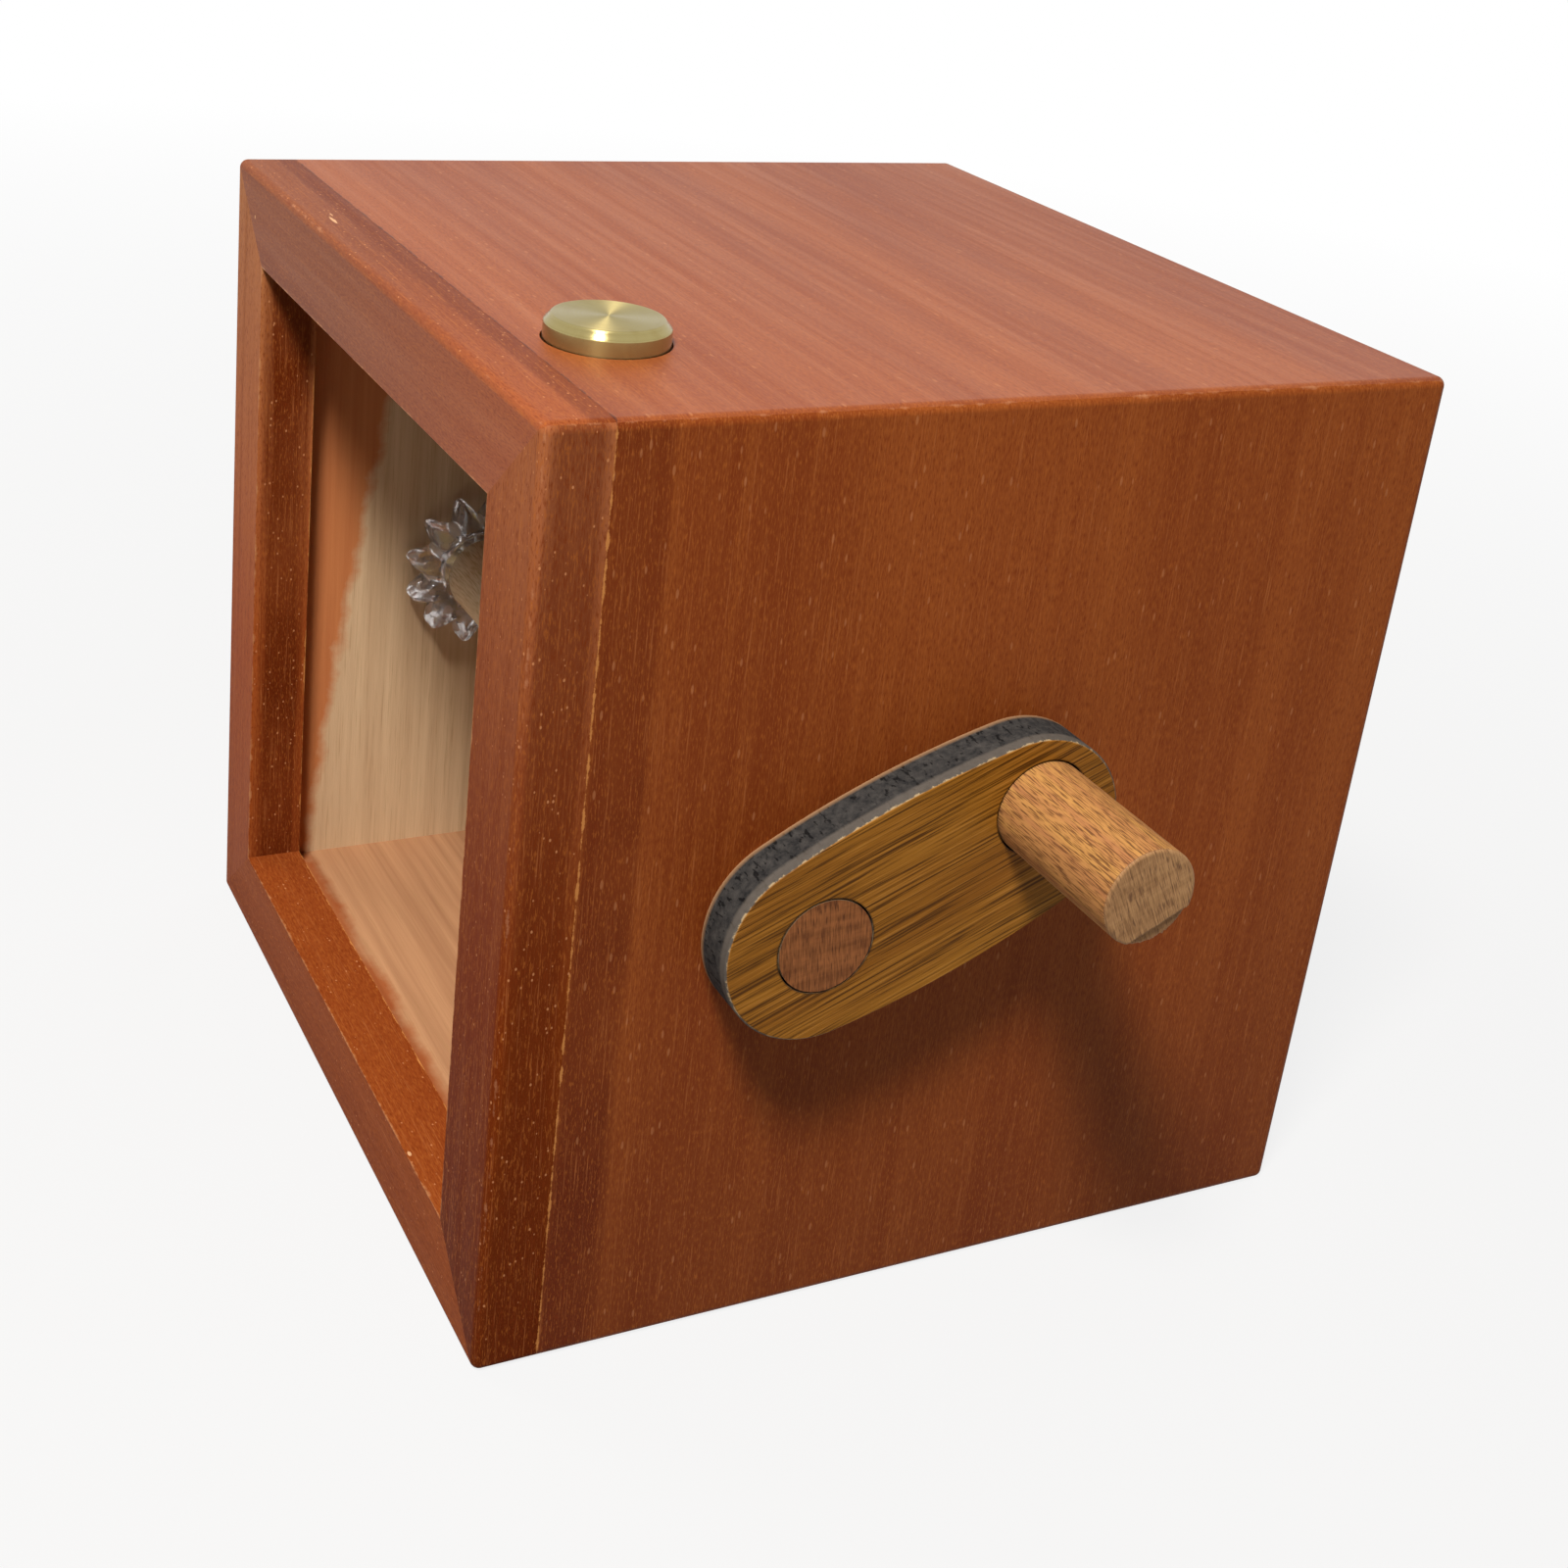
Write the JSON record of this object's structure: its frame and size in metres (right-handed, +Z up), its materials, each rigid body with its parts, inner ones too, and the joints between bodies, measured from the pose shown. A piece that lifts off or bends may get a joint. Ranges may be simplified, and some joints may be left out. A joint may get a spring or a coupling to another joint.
{
  "type": "wind up music box",
  "caption": "Cubic wooden music box with an open framed front, a hand crank with a dowel peg on the side, a brass push button on top and a pinned-cylinder movement inside.",
  "frame": {"origin": "centre of the case's flat bottom face", "axes": "+X to the right, the crank side; +Y to the back, away from the open front; +Z up"},
  "size_m": [0.1249, 0.1, 0.1024],
  "materials": {
    "case_wood": "red-brown stain, satin",
    "frame_wood": "red-brown stain, satin",
    "dowel_wood": "bare, sanded",
    "arm_wood": "satin face, dark cut edge",
    "pale_wood": "bare, sanded",
    "brass": "turned",
    "steel": "ground",
    "clear_acrylic": "clear, polished",
    "cork": "cork, cut",
    "fibre": "matte"
  },
  "bodies": {
    "case": {"top_panel": "case_wood", "bottom_panel": "case_wood", "left_panel": "case_wood", "right_panel": "case_wood", "back_panel": "case_wood", "frame_top_rail": "frame_wood", "frame_bottom_rail": "frame_wood", "frame_left_stile": "frame_wood", "frame_right_stile": "frame_wood", "movement_plinth": "pale_wood", "crank_bush": "brass", "tail_bush": "brass", "arbor_bush": "brass", "button_bush": "brass", "bedplate": "brass", "comb_block": "brass", "left_bracket": "brass", "right_bracket": "brass", "guide_bracket": "brass", "comb": "steel", "comb_screws": "steel", "bedplate_screws": "steel", "bracket_screws": "steel", "guide_bracket_screws": "steel", "button_spring": "steel"},
    "crank": {"crank_arm": "arm_wood", "crank_peg": "dowel_wood", "crankshaft": "dowel_wood", "thrust_washer": "fibre", "retaining_collar": "dowel_wood", "brake_drum": "dowel_wood", "drive_pinion": "clear_acrylic"},
    "transfer": {"transfer_arbor": "steel", "transfer_wheel": "clear_acrylic", "transfer_pinion": "brass"},
    "cylinder": {"cylinder_arbor": "steel", "pinned_cylinder": "brass", "cylinder_end_caps": "brass", "cylinder_wheel": "brass"},
    "button": {"button_cap": "brass", "button_stem": "steel", "stem_collar": "brass", "brake_arm": "brass", "brake_pad": "cork", "guide_pin": "steel"}
  },
  "joints": [
    {"name": "crank_turn", "type": "hinge", "parent": "case", "child": "crank", "pos_m": [0, -0.0201, 0.0487], "axis": [1, 0, 0], "continuous": true},
    {"name": "transfer_turn", "type": "hinge", "parent": "case", "child": "transfer", "pos_m": [0, 0.01068, 0.042], "axis": [1, 0, 0], "continuous": true},
    {"name": "cylinder_turn", "type": "hinge", "parent": "case", "child": "cylinder", "pos_m": [0, 0.02241, 0.0268], "axis": [1, 0, 0], "continuous": true},
    {"name": "button_press", "type": "slide", "parent": "case", "child": "button", "axis": [0, 0, -1], "range_m": [0, 0.002], "stiffness_N_per_m": 400, "springref_m": -0.003, "deforming": ["button_spring"]}
  ],
  "couplings": [
    {"joint": "transfer_turn", "follows": "crank_turn", "ratio": -0.4},
    {"joint": "cylinder_turn", "follows": "crank_turn", "ratio": 0.13333}
  ]
}
